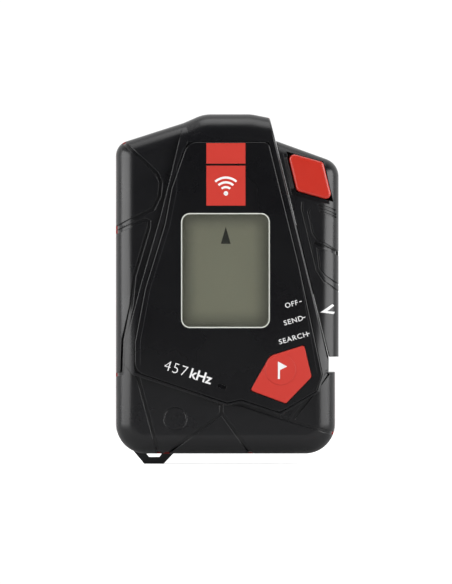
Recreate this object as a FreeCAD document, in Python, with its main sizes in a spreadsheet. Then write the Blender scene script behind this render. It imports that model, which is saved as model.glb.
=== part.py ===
"""Avalanche transceiver: two-shell housing, slanted selector slider, display, keys, battery bay and antennas.

Frame: X across the width, Z up the length, Y through the thickness. The flat back lies on Y = 0 and the
display faces -Y. "Depth" below always means the distance in front of the back plane, so depth = -Y.
"""
import FreeCAD, Part
import math
import os
import re
import Sketcher

Vector = FreeCAD.Vector

# Driving dimensions, in millimetres and degrees. Depths are measured forward from the back plane.
SIZES = {
    # housing
    "half_width": 37.5,
    "half_height": 57.2,
    "core_right": 36.3,
    "shoulder_height": 47.0,
    "crown_left": 14.4,
    "crown_foot": 54.4,
    "crown_flat": 8.0,
    "corner_radius": 10,
    "shoulder_radius": 5,
    "crown_radius": 12,
    "edge_radius": 6.5,
    "back_radius": 4,
    "side_wall": 3,
    "floor_wall": 2,
    "seam_depth": 10.8,
    "face_depth": 22.3,
    "spine_depth": 24.5,
    "spine_radius": 7.5,
    "spine_bevel": 0.5,
    "lens_wall": 2,
    "seal_thickness": 0.4,
    "seal_width": 1.6,
    "seal_proud": 0.12,
    "groove_width": 1.2,
    "groove_depth": 0.55,
    "crease_width": 0.5,
    "crease_depth": 0.35,
    # selector
    "slide_angle": 13.8,
    "wall_foot_x": 34.1,
    "wall_foot_z": -24.8,
    "slide_gap": 0.35,
    "slide_travel": 5.15,
    "stop_gap": 0.15,
    "slider_foot": -24.45,
    "slider_right": 37.5,
    "slider_shoulder": 40.6,
    "slider_slope": 0.361,
    "slider_back": 1.6,
    "slider_front": 24,
    "slider_seam": 9,
    "slider_seam_gap": 0.1,
    "slider_edge": 6.2,
    "rail_start": 22,
    "rail_length": 24,
    "rail_back": 13,
    "stem_thick": 4,
    "stem_height": 1.5,
    "head_thick": 7.4,
    "head_height": 1.3,
    "rail_gap": 0.15,
    "magnet_radius": 1.6,
    "magnet_length": 3.6,
    "magnet_along": 8.5,
    "magnet_out": 3.1,
    # lock key on the selector
    "key_left": 20.2,
    "key_top": 44.2,
    "key_width": 12,
    "key_drop": 3.3,
    "key_lean": 3.2,
    "key_height": 13,
    "key_radius": 1.7,
    "key_gap": 0.2,
    "key_back": 14.5,
    "key_front": 25.2,
    "key_flange": 0.8,
    "key_flange_thick": 1.4,
    "key_travel": 1.5,
    "key_well_side": 1.8,
    "key_well_top": 1.5,
    "key_well_depth": 0.8,
    "key_dome_top": 2.2,
    "key_dome_foot": 4.2,
    "key_dome_wall": 0.7,
    # front panel, window and mark key
    "panel_front": 25.3,
    "panel_seat": 23.7,
    "panel_gap": 0.15,
    "panel_radius": 4.5,
    "window_left": -15.5,
    "window_right": 14.3,
    "window_top": 23.8,
    "window_bottom": -14.8,
    "window_radius": 3,
    "window_thick": 1.45,
    "window_gap": 0.1,
    "sight_margin": 0.4,
    "lcd_margin": 0.8,
    "lcd_thick": 2,
    "lcd_gap": 0.2,
    "backlight_thick": 1.5,
    "mark_travel": 0.4,
    "mark_gap": 0.2,
    "mark_front": 25.45,
    "mark_back": 22.9,
    "mark_flange": 0.9,
    "mark_flange_thick": 0.6,
    "mark_corner": 0.8,
    "dome_x": 17.9,
    "dome_z": -28.8,
    "dome_radius": 5.1,
    "dome_height": 0.12,
    # battery bay and door
    "cell_radius": 7.2,
    "cell_length": 49.3,
    "cell_nub_radius": 2.75,
    "cell_nub_length": 1.1,
    "cell_z": -41.6,
    "cell_depth": 9.9,
    "bay_side_gap": 0.5,
    "bay_end_gap": 2.6,
    "bay_wall": 1.2,
    "contact_thick": 0.5,
    "door_right": 28.2,
    "door_top": -25.4,
    "door_thick": 2.1,
    "door_gap": 0.3,
    "door_corner": 3,
    "hinge_z": -52.2,
    "hinge_radius": 1.95,
    "hinge_bore_gap": 0.05,
    "hinge_half": 24,
    "lug_width": 3.4,
    "lug_reach": 1.4,
    "door_hinge_gap": 0.7,
    "pin_radius": 0.8,
    "door_seal_width": 1.2,
    "door_seal_thick": 1.2,
    "door_seal_gap": 0.2,
    "door_rest_gap": 0.05,
    "coin_z": -30.2,
    "coin_head_radius": 3.9,
    "coin_head_thick": 1.5,
    "coin_shank_radius": 1.5,
    "coin_shank_end": 5,
    "coin_slot_width": 1.4,
    "coin_slot_depth": 0.9,
    "coin_gap": 0.3,
    "insert_wall": 0.8,
    "boss_wall": 1.4,
    # electronics
    "board_depth": 14.4,
    "board_thick": 1.6,
    "board_left": -20.5,
    "board_top": 38,
    "board_bottom": -32.4,
    "board_margin": 4,
    "rod_radius": 3.6,
    "rod_length": 58,
    "rod_x": -27.5,
    "rod_z": 1,
    "rod_depth": 8.4,
    "short_rod_radius": 3,
    "short_rod_length": 30,
    "short_rod_x": -4,
    "short_rod_z": 43,
    "winding_wall": 1,
    "winding_share": 0.45,
    "coil_width": 26,
    "coil_height": 20,
    "coil_wall": 3.2,
    "coil_thick": 3,
    "coil_x": 0,
    "coil_z": 8,
    "chip_size": 7,
    "chip_thick": 1,
    "sensor_size": 2,
    "sensor_thick": 0.8,
    "switch_size": 5,
    "switch_height": 3.6,
    "stem_radius": 1.4,
    "sounder_x": -17.5,
    "sounder_z": -45.2,
    "sounder_radius": 4,
    "sounder_thick": 0.5,
    "port_x": -1.8,
    "port_z": -34.5,
    "port_length": 3,
    "port_width": 1.3,
    "port_tilt": -18,
    # lanyard eye and screws
    "eye_drop": 3.6,
    "eye_left": -32.3,
    "eye_right": -17.7,
    "eye_slope": 4.2,
    "eye_back": 4.2,
    "eye_thick": 4.6,
    "eye_hole_left": -27.6,
    "eye_hole_right": -22,
    "eye_hole_height": 1.4,
    "screw_radius": 1.1,
    "screw_head_radius": 2.1,
    "screw_head_thick": 1.4,
    "screw_length": 13,
    "screw_gap": 0.1,
    "screw_sink": 0.5,
    "screw_wall": 1.3,
    "slider_screw_length": 7,
}

doc = FreeCAD.newDocument("avalanche_transceiver")
sheet = doc.addObject("Spreadsheet::Sheet", "Sizes")
for row, (alias, number) in enumerate(SIZES.items(), start=1):
    sheet.set(f"A{row}", alias)
    sheet.set(f"B{row}", str(number))
    sheet.setAlias(f"B{row}", alias)
doc.recompute()

NODES = []


# ---------------------------------------------------------------- expressions and sketches

def cells(expression):
    """The same expression with each size written as a cell of the sheet."""
    def named(match):
        word = match.group(0)
        return f"Sizes.{word}" if word in SIZES else word
    return re.sub(r"[a-z][a-z_]*", named, str(expression))


def value(expression):
    """The number that an expression of sizes stands for now."""
    return float(sheet.evalExpression(cells(expression)))


def form(name, base=None):
    """A body that other solids are made from; it can start from a finished solid."""
    made = doc.addObject("PartDesign::Body", name)
    made.Label = name
    if base is not None:
        made.BaseFeature = base
        doc.recompute()
    return made


def body(name, base=None):
    """A body that is a node of its own."""
    return keep(form(name, base), name)


def keep(made, name):
    """Names a finished solid as a node."""
    made.Label = name
    NODES.append(made)
    return made


def sketch(owner, name, depth="0", role="XZ_Plane"):
    """An empty sketch on one of the body's origin planes, moved out along the plane's normal."""
    made = owner.newObject("Sketcher::SketchObject", name)
    plane = next(o for o in owner.Origin.OriginFeatures if o.Role == role)
    made.AttachmentSupport = [(plane, "")]
    made.MapMode = "FlatFace"
    made.setExpression("AttachmentOffset.Base.z", cells(depth))
    return made


def bind(made, kind, *place, expression):
    """Adds a distance or radius and ties it to its expression."""
    index = made.addConstraint(Sketcher.Constraint(kind, *place, value(expression)))
    made.setExpression(f"Constraints[{index}]", cells(expression))


def add_polygon(made, points):
    """A closed outline of straight edges; every corner is tied to the sheet."""
    corners = [Vector(value(x), value(z), 0) for x, z in points]
    count = len(points)
    edges = [
        made.addGeometry(Part.LineSegment(corners[i], corners[(i + 1) % count]), False) for i in range(count)
    ]
    for i, edge in enumerate(edges):
        made.addConstraint(Sketcher.Constraint("Coincident", edge, 2, edges[(i + 1) % count], 1))
    for edge, (x, z) in zip(edges, points):
        bind(made, "DistanceX", -1, 1, edge, 1, expression=x)
        bind(made, "DistanceY", -1, 1, edge, 1, expression=z)


def add_circle(made, x, z, radius):
    ring = made.addGeometry(Part.Circle(Vector(value(x), value(z), 0), Vector(0, 0, 1), value(radius)), False)
    bind(made, "DistanceX", -1, 1, ring, 3, expression=x)
    bind(made, "DistanceY", -1, 1, ring, 3, expression=z)
    bind(made, "Radius", ring, expression=radius)


def polygon(owner, name, points, depth="0", role="XZ_Plane"):
    made = sketch(owner, name, depth, role)
    add_polygon(made, points)
    return made


def circles(owner, name, places, radius, depth="0", role="XZ_Plane"):
    made = sketch(owner, name, depth, role)
    for x, z in places:
        add_circle(made, x, z, radius)
    return made


def box_points(left, bottom, right, top):
    return [(left, bottom), (right, bottom), (right, top), (left, top)]


def grown(points, margin):
    """The outline moved outwards by a margin, with sharp corners; the points run anticlockwise."""
    xy = [(value(x), value(z)) for x, z in points]
    shift = value(margin)
    moved = []
    for i, (x, z) in enumerate(xy):
        (ax, az), (bx, bz) = xy[i - 1], xy[(i + 1) % len(xy)]
        into = Vector(x - ax, z - az, 0).normalize()
        out = Vector(bx - x, bz - z, 0).normalize()
        spread = 1 + into.dot(out)
        moved.append((x + shift * (into.y + out.y) / spread, z - shift * (into.x + out.x) / spread))
    return moved


def strip(points, width):
    """A band of even width along an open run of points."""
    half = value(width) / 2
    xy = [Vector(value(x), value(z), 0) for x, z in points]
    left, right = [], []
    for i, point in enumerate(xy):
        into = (point - xy[i - 1]).normalize() if i else (xy[1] - point).normalize()
        out = (xy[i + 1] - point).normalize() if i + 1 < len(xy) else into
        across = Vector(-into.y - out.y, into.x + out.x, 0) / (1 + into.dot(out)) * half
        left.append((point.x + across.x, point.y + across.y))
        right.append((point.x - across.x, point.y - across.y))
    return right + left[::-1]


# ---------------------------------------------------------------- features

def feature(owner, kind, name, **expressions):
    made = owner.newObject(f"PartDesign::{kind}", name)
    for prop, expression in expressions.items():
        made.setExpression(prop, cells(expression))
    return made


def pad(owner, profile, length):
    made = feature(owner, "Pad", profile.Name + "_pad", Length=length)
    made.Profile = profile
    doc.recompute()
    return made


def pocket(owner, profile, length, forward=False):
    """Cuts towards the back, or forward, away from the back plane; it has to remove something."""
    before = owner.Tip.Shape.Volume
    made = feature(owner, "Pocket", profile.Name + "_cut", Length=length)
    made.Profile = profile
    made.Reversed = forward
    doc.recompute()
    if not made.Shape.Volume < before - 1e-6:
        raise RuntimeError(f"{made.Name} cuts nothing")
    return made


def round_edges(owner, name, radius, chosen, kind="Fillet"):
    """Rounds or chamfers the edges of the body's tip that pass a test."""
    tip = owner.Tip
    found = [f"Edge{i}" for i, edge in enumerate(tip.Shape.Edges, start=1) if chosen(edge)]
    made = feature(owner, kind, name, **{"Radius" if kind == "Fillet" else "Size": radius})
    made.Base = (tip, found)
    doc.recompute()
    return made


def at_corner(points):
    """A test for edges that run through the thickness at one of these corners."""
    places = [(value(x), value(z)) for x, z in points]

    def chosen(edge):
        ends = [v.Point for v in edge.Vertexes]
        if len(ends) != 2 or abs(ends[0].x - ends[1].x) + abs(ends[0].z - ends[1].z) > 1e-5:
            return False
        return any(math.hypot(ends[0].x - x, ends[0].z - z) < 1e-4 for x, z in places)
    return chosen


def at_depth(depth, inside=None):
    """A test for edges that lie in the plane at this depth, and pass a test of their middle."""
    plane = -value(depth)

    def chosen(edge):
        flat = abs(edge.BoundBox.YMin - plane) < 1e-5 and abs(edge.BoundBox.YMax - plane) < 1e-5
        middle = edge.valueAt((edge.FirstParameter + edge.LastParameter) / 2)
        return flat and (inside is None or inside(middle))
    return chosen


# ---------------------------------------------------------------- shared outlines

def wall_x(z):
    """Where the slanted wall beside the selector stands at a height."""
    return f"wall_foot_x - (({z}) - wall_foot_z) * tan(slide_angle)"


def slanted(along, out):
    """A point given by its distance up the slanted wall and out from it."""
    return (
        f"wall_foot_x - ({along}) * sin(slide_angle) + ({out}) * cos(slide_angle)",
        f"wall_foot_z + ({along}) * cos(slide_angle) + ({out}) * sin(slide_angle)",
    )


def slanted_box(start, end, low, high):
    return [slanted(start, low), slanted(start, high), slanted(end, high), slanted(end, low)]


BOTTOM_LEFT = ("-half_width", "-half_height")
BOTTOM_RIGHT = ("core_right", "-half_height")
SHOULDER = ("-half_width", "shoulder_height")
CROWN_FOOT = ("-crown_left", "crown_foot")
CROWN_LEFT = ("-crown_flat", "half_height")
CROWN_RIGHT = ("crown_flat", "half_height")
CORE_TOP = ("core_right", "half_height - 5.5")
CORE = [BOTTOM_LEFT, BOTTOM_RIGHT, CORE_TOP, CROWN_RIGHT, CROWN_LEFT, CROWN_FOOT, SHOULDER]

# The bay of the selector: right of the slanted wall, down to the notch below it.
NOTCH_FOOT = "slider_foot - slide_travel - stop_gap"
BAY = [
    ("wall_foot_x", NOTCH_FOOT),
    ("half_width + 20", NOTCH_FOOT),
    ("half_width + 20", "half_height + 20"),
    (wall_x("half_height + 20"), "half_height + 20"),
    ("wall_foot_x", "wall_foot_z"),
]

# The inside of the housing, clear of the walls.
INNER_TOP = "half_height - side_wall - 1.2"
INNER_CUT = "(corner_radius - side_wall) * 0.65"
INNER = [
    ("-half_width + side_wall", f"-half_height + side_wall + {INNER_CUT}"),
    (f"-half_width + side_wall + {INNER_CUT}", "-half_height + side_wall"),
    (f"core_right - side_wall - {INNER_CUT}", "-half_height + side_wall"),
    ("core_right - side_wall", f"-half_height + side_wall + {INNER_CUT}"),
    ("core_right - side_wall", "slider_foot - slide_travel - side_wall - 1"),
    (f"{wall_x('slider_foot')} - side_wall", "slider_foot - slide_travel - side_wall - 1"),
    (f"{wall_x(INNER_TOP)} - side_wall", INNER_TOP),
    ("-crown_left", "crown_foot - side_wall - 0.8"),
    ("-half_width + side_wall", "shoulder_height - side_wall"),
]

# The raised spine under the front panel, and the panel itself.
SPINE = [
    (-31.9, -30.4),
    (-0.1, -40.8),
    (4.6, -39.7),
    (17.9, -44.1),
    (30.9, -36.3),
    (33.0, -29.2),
    ("wall_foot_x + 6", -27.6),
    ("wall_foot_x + 6", "wall_foot_z"),
    (wall_x(70) + " + 6", 70),
    (wall_x(70) + " - 26", 70),
    ("-crown_left - 0.2", "crown_foot + 0.2"),
    (-19.0, 36.0),
    (-22.4, 22.5),
    (-28.9, 0.0),
    (-33.6, -18.0),
    (-34.6, -27.2),
]
PANEL = [
    (-31.0, -29.4),
    (0.0, -39.9),
    (4.7, -38.8),
    (17.7, -43.1),
    (30.0, -35.9),
    (31.9, -30.5),
    (f"{wall_x(6)} - 2.4", 6),
    (f"{wall_x(47.6)} - 2.4", 47.6),
    (-13.2, 47.6),
    (-18.7, 31.9),
    (-21.0, 19.8),
    (-27.6, -1.7),
    (-31.0, -19.8),
]
WINDOW = box_points("window_left", "window_bottom", "window_right", "window_top")

# The mark key is a pentagon set into the panel.
MARK = [(7.8, -35.7), (19.7, -40.1), (28.3, -31.2), (25.8, -20.6), (14.3, -24.2)]

# The lock key leans with the selector.
KEY = [
    ("key_left + key_lean", "key_top - key_height"),
    ("key_left + key_lean + key_width", "key_top - key_height - key_drop"),
    ("key_left + key_width", "key_top - key_drop"),
    ("key_left", "key_top"),
]

CASE_SCREWS = [(-32.0, 36.5), (-31.2, -50.2), (31.2, -50.2), (4.0, 51.3)]
SLIDER_SCREWS = [slanted(14.0, 3.0), slanted(50.2, 7.0)]


def shell(owner, start, length, inset="0"):
    """The outer form of the core between two depths, with its corners rounded; an inset makes it smaller."""
    outline = grown(CORE, f"-({inset})")
    pad(owner, polygon(owner, "outline", outline, start), length)
    round_edges(owner, "corners", f"corner_radius - ({inset})", at_corner(outline[:2]))
    round_edges(owner, "shoulder", f"shoulder_radius - ({inset})", at_corner(outline[6:]))
    round_edges(owner, "crown", f"crown_radius - ({inset})", at_corner(outline[3:5]))


# ---------------------------------------------------------------- housing

FRONT_START = "(seam_depth + seal_thickness)"


def front_form(name, inset="0"):
    """The front half without its spine."""
    owner = form(name)
    shell(owner, FRONT_START, f"face_depth - ({inset}) - {FRONT_START}", inset)
    round_edges(owner, "front_edge", f"edge_radius - ({inset})", at_depth(f"face_depth - ({inset})"))
    return owner


def spine_form():
    """The raised spine: a deeper front half with a softer edge, cut down to the spine's outline."""
    owner = form("spine_form")
    shell(owner, FRONT_START, f"spine_depth - {FRONT_START}")
    round_edges(owner, "front_edge", "spine_radius", at_depth("spine_depth"))
    around = sketch(owner, "around", "spine_depth + 1")
    add_polygon(around, box_points(-80, -80, 80, 90))
    add_polygon(around, SPINE)
    pocket(owner, around, "spine_depth + 2")
    return owner


def furrows(name, runs, width, below, front):
    """Grooves of even depth that follow a rounded form: bands, less the same form made smaller."""
    bands = form(name + "_bands")
    for i, run in enumerate(runs):
        pad(bands, polygon(bands, f"run_{i}", strip(run, width), FRONT_START), f"{front} + 0.02 - {FRONT_START}")
    return combine("cut", name, bands, below)


GRIP_GROOVES = [
    [(-36.0, 48.5), (-28.8, 42.1), (-23.6, 37.2), (-22.3, 34.0), (-22.8, 29.5), (-24.9, 25.2), (-40.0, 17.6)],
    [(-40.0, 16.4), (-27.6, 21.6), (-26.3, 21.0), (-26.4, 19.0), (-31.3, 2.5), (-32.2, -7.0), (-35.0, -19.0),
     (-35.4, -30.0), (-40.0, -31.5)],
]
FOOT_GROOVES = [
    [(-30.2, -30.5), (-22.3, -60.0)],
    [(-2.0, -40.2), (-1.9, -43.6), (-24.5, -60.0)],
    [(-2.2, -43.0), (10.0, -60.0)],
    [(1.5, -40.3), (4.6, -40.4), (22.0, -46.2), (40.0, -51.6)],
    [(22.0, -46.2), (22.6, -44.6), (34.0, -30.0)],
]


def make_front_case():
    solid = combine("fuse", "front_solid", front_form("front_form"), spine_form())
    doc.recompute()
    owner = form("front_body", solid)
    pocket(owner, polygon(owner, "bay", BAY, "spine_depth + 1"), "spine_depth + 2")
    wall = value("wall_foot_x"), value("wall_foot_z")
    lean = math.tan(math.radians(value("slide_angle")))
    round_edges(owner, "spine_edge", "spine_bevel", at_depth(
        "spine_depth", lambda middle: abs(middle.x - wall[0] + (middle.z - wall[1]) * lean) < 0.01), "Chamfer")
    pocket(owner, polygon(owner, "inside", INNER, FRONT_START), f"face_depth - floor_wall - 0.6 - {FRONT_START}",
           True)
    for x, z in CASE_SCREWS:
        post = circles(owner, "post", [(x, z)], "screw_radius + screw_wall", FRONT_START)
        pad(owner, post, f"face_depth - floor_wall - {FRONT_START}")
    well = polygon(owner, "lcd_well", grown(WINDOW, "lcd_margin + lcd_gap"), FRONT_START)
    pocket(owner, well, f"spine_depth - lens_wall - {FRONT_START}", True)
    sight = polygon(owner, "sight", grown(WINDOW, "-sight_margin"), "spine_depth")
    pocket(owner, sight, "lens_wall + 1")
    seat = polygon(owner, "panel_seat", grown(PANEL, "panel_gap"), "spine_depth + 1")
    pocket(owner, seat, "spine_depth + 1 - panel_seat")
    hole = polygon(owner, "mark_hole", grown(MARK, "mark_flange + mark_gap"), "spine_depth")
    pocket(owner, hole, "spine_depth - face_depth + floor_wall + 1")
    pocket(owner, port(owner, "port_length + 0.3", "port_width + 0.3", "spine_depth"),
           "spine_depth - face_depth + floor_wall + 1")
    screws = circles(owner, "screw_holes", CASE_SCREWS, "screw_radius", FRONT_START)
    pocket(owner, screws, "screw_length + screw_sink - seam_depth + 3", True)
    ring = circles(owner, "sounder_ring", [("sounder_x", "sounder_z")], "sounder_radius", "face_depth")
    add_circle(ring, "sounder_x", "sounder_z", "sounder_radius - 0.4")
    pocket(owner, ring, "0.15")
    below = front_form("groove_floor", "groove_depth")
    grooves = furrows("front_grooves", GRIP_GROOVES + FOOT_GROOVES, "groove_width", below, "face_depth")
    keep(combine("cut", "front_case", owner, grooves), "front_case")


def make_rear_case():
    owner = body("rear_case")
    shell(owner, "0", "seam_depth")
    round_edges(owner, "back_edge", "back_radius", at_depth("0"))
    eye = [
        ("eye_left", "-half_height + 1.4"),
        ("eye_left + eye_slope", "-half_height - eye_drop"),
        ("eye_right - eye_slope + 0.4", "-half_height - eye_drop"),
        ("eye_right", "-half_height + 0.4"),
        ("eye_right", "-half_height + 3"),
        ("eye_left + 3", "-half_height + 3"),
    ]
    pad(owner, polygon(owner, "eye", eye, "eye_back"), "eye_thick")
    hole = [
        ("eye_hole_left", "-half_height"),
        ("eye_hole_left + 1.1", "-half_height - eye_hole_height"),
        ("eye_hole_right - 1", "-half_height - eye_hole_height"),
        ("eye_hole_right", "-half_height"),
    ]
    pocket(owner, polygon(owner, "eye_hole", hole, "eye_back + eye_thick + 1"), "eye_thick + 2")
    pocket(owner, polygon(owner, "bay", BAY, "seam_depth + 1"), "seam_depth + 2")
    pocket(owner, polygon(owner, "inside", INNER, "seam_depth"), "seam_depth - floor_wall")
    for x, z in CASE_SCREWS:
        post = circles(owner, "post", [(x, z)], "screw_head_radius + screw_wall", "floor_wall - 1")
        pad(owner, post, "seam_depth - floor_wall + 1")
    tub_front = "cell_depth + cell_radius + 0.3 + bay_wall"
    bay = battery_bay()
    pad(owner, polygon(owner, "tub", grown(bay, "bay_wall"), "floor_wall - 1"), f"{tub_front} - floor_wall + 1")
    recess = "door_thick + door_rest_gap"
    opening = grown(door_outline(), "door_gap")
    seat = polygon(owner, "door_seat", grown(opening, "bay_wall"), "floor_wall - 1")
    pad(owner, seat, f"{recess} + bay_wall - floor_wall + 1")
    boss = circles(owner, "boss", [(0, "coin_z")], "coin_shank_radius + coin_gap + insert_wall + boss_wall",
                   "floor_wall - 1")
    pad(owner, boss, "coin_shank_end + 2")
    pocket(owner, polygon(owner, "bay_hole", bay, "0"), f"{tub_front} - bay_wall", True)
    bore = circles(owner, "insert_bore", [(0, "coin_z")], "coin_shank_radius + coin_gap + insert_wall", "0")
    pocket(owner, bore, "door_thick + 0.6 + 3.5", True)
    pocket(owner, polygon(owner, "door_recess", opening, "0"), recess, True)
    knuckle = box_points("-hinge_half - door_gap", "hinge_z - hinge_radius - door_gap",
                         "hinge_half + door_gap", "hinge_z + hinge_radius + door_gap")
    pocket(owner, polygon(owner, "hinge_recess", knuckle, "0"), "hinge_radius * 2 + door_gap", True)
    relief = box_points("-door_right - door_gap", "hinge_z + lug_reach", "door_right + door_gap",
                        "hinge_z + hinge_radius + door_hinge_gap")
    pocket(owner, polygon(owner, "lug_relief", relief, "0"), recess, True)
    screw_sites(owner, "rear", CASE_SCREWS)
    bore = circles(owner, "pin_bore", [("-hinge_radius", "hinge_z")], "pin_radius", "-hinge_half - door_gap - lug_width",
                   "YZ_Plane")
    pocket(owner, bore, "(hinge_half + door_gap + lug_width) * 2", True)
    return owner


def screw_sites(owner, name, places):
    """Clearance holes and head recesses for screws that go in from the back."""
    holes = circles(owner, f"{name}_holes", places, "screw_radius + screw_gap", "0")
    pocket(owner, holes, "seam_depth + 1", True)
    heads = circles(owner, f"{name}_heads", places, "screw_head_radius + screw_gap", "0")
    pocket(owner, heads, "screw_head_thick + screw_sink", True)


def battery_bay():
    """The opening of the battery bay: the cell with room for its contacts."""
    half = "cell_length / 2 + bay_end_gap"
    side = "(cell_radius + bay_side_gap)"
    return box_points(f"-({half})", f"cell_z - {side}", half, f"cell_z + {side}")


def door_outline():
    return box_points("-door_right", "hinge_z + hinge_radius + door_hinge_gap", "door_right", "door_top")


def make_case_seal():
    """The red seal between the shells, which shows as a hairline round the seam."""
    owner = body("case_seal")
    shell(owner, "seam_depth", "seal_thickness", "-seal_proud")
    pocket(owner, polygon(owner, "bay", BAY, "seam_depth + 1"), "3")
    inner = polygon(owner, "inside", grown(INNER, "side_wall - seal_width"), "seam_depth")
    pocket(owner, inner, "seal_thickness", True)


def make_front_panel():
    owner = body("front_panel")
    pad(owner, polygon(owner, "outline", PANEL, "panel_seat"), "panel_front - panel_seat")
    round_edges(owner, "corners", "panel_radius", at_corner([PANEL[i] for i in (0, 3, 5, 8)]))
    round_edges(owner, "top_corner", "panel_radius / 2", at_corner([PANEL[7]]))
    round_edges(owner, "rim", "0.3", at_depth("panel_front"))
    window = polygon(owner, "window", grown(WINDOW, "window_gap"), "panel_front")
    pocket(owner, window, "panel_front - panel_seat")
    corners = [(value(x), value(z)) for x, z in grown(WINDOW, "window_gap")]
    round_edges(owner, "window_corners", "window_radius", at_corner(corners))
    mark = polygon(owner, "mark", grown(MARK, "mark_gap"), "panel_front")
    pocket(owner, mark, "panel_front - panel_seat")
    pocket(owner, port(owner, "port_length", "port_width", "panel_front"), "panel_front - panel_seat")


def port(owner, length, width, depth):
    """The tilted slot of the status light."""
    half, tall = f"({length}) / 2", f"({width}) / 2"
    turned = [
        (f"port_x + ({x}) * cos(port_tilt) - ({z}) * sin(port_tilt)",
         f"port_z + ({x}) * sin(port_tilt) + ({z}) * cos(port_tilt)")
        for x, z in box_points(f"-{half}", f"-{tall}", half, tall)
    ]
    return polygon(owner, "port", turned, depth)


def make_light_pipe():
    """A clear pipe in the tilted slot, over a light that sits on the battery tub."""
    owner = body("light_pipe")
    led_front = "(cell_depth + cell_radius + 0.3 + bay_wall + 0.7)"
    pad(owner, port(owner, "port_length - 0.1", "port_width - 0.1", f"{led_front} + 0.05"),
        f"panel_front - 0.1 - {led_front} - 0.05")
    keep(block("status_led", "port_x - 1", "port_x + 1", "port_z - 0.6", "port_z + 0.6", f"{led_front} - 0.6",
               led_front), "status_led")


def make_window():
    owner = body("display_window")
    pad(owner, polygon(owner, "outline", WINDOW, "panel_seat"), "window_thick")
    round_edges(owner, "corners", "window_radius", at_corner(WINDOW))
    round_edges(owner, "rim", "0.2", at_depth("panel_seat + window_thick"))


def make_mark_key():
    owner = body("mark_key")
    pad(owner, polygon(owner, "flange", grown(MARK, "mark_flange"), "mark_back"), "mark_flange_thick")
    pad(owner, polygon(owner, "cap", MARK, "mark_back"), "mark_front - mark_back")
    round_edges(owner, "cap_corners", "mark_corner", at_corner(MARK[:4]))
    round_edges(owner, "inner_corner", "mark_corner * 5", at_corner(MARK[4:]))
    dome = circles(owner, "dome", [("dome_x", "dome_z")], "dome_radius", "mark_front - 0.3")
    pad(owner, dome, "dome_height + 0.3")
    stem_end = f"({SWITCH_TOP} + mark_travel + 0.05)"
    stem = circles(owner, "stem", [("dome_x", "dome_z")], "stem_radius", stem_end)
    pad(owner, stem, f"mark_back + 0.2 - {stem_end}")


# ---------------------------------------------------------------- selector

SLIDER = [
    (f"{wall_x('slider_foot')} + slide_gap - 12", "slider_foot"),
    ("slider_right", "slider_foot"),
    ("slider_right", "slider_shoulder"),
    ("slider_right - 50", "slider_shoulder + 50 * slider_slope"),
]
LEFT_OF_SLIDER = [
    (f"{wall_x(-60)} + slide_gap / cos(slide_angle)", -60),
    (f"{wall_x(80)} + slide_gap / cos(slide_angle)", 80),
    (-80, 80),
    (-80, -60),
]
SLIDER_START = "(slider_seam + slider_seam_gap)"

# Thumb grips: the terraces and the deep cross groove on the selector's face, and the ripples under the key.
TERRACES = [
    [(25.2, 27.5), (25.1, 25.4), (30.1, 4.6), (32.6, 0.8), (39.0, -3.6)],
    [(28.2, 25.6), (27.2, 24.4), (28.7, 17.2), (30.0, 15.2), (39.0, 9.8)],
    [(39.0, 10.6), (30.3, 11.9), (31.1, 5.2), (33.0, 2.6), (39.0, -1.2)],
]
CROSS_GROOVE = [[(29.2, 14.0), (39.0, 9.4)]]
RIPPLES = [
    [(30.5, 26.7), (36.4, 24.8)],
    [(30.8, 25.6), (36.6, 23.4)],
    [(31.1, 24.5), (36.6, 22.4)],
]


def slider_form(owner, start, length, edge_depth, inset="0"):
    """The wedge between the slanted wall and the right side, with its outer edge rounded."""
    outline = grown(SLIDER, f"-({inset})")
    pad(owner, polygon(owner, "outline", outline, start), length)
    round_edges(owner, "shoulder", f"slider_edge - ({inset})", at_corner([outline[2]]))
    foot = value(outline[0][1])
    round_edges(owner, "outer_edge", f"slider_edge - ({inset})", at_depth(
        edge_depth, lambda middle: middle.z > foot + 0.1 and middle.x > -6))


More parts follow.
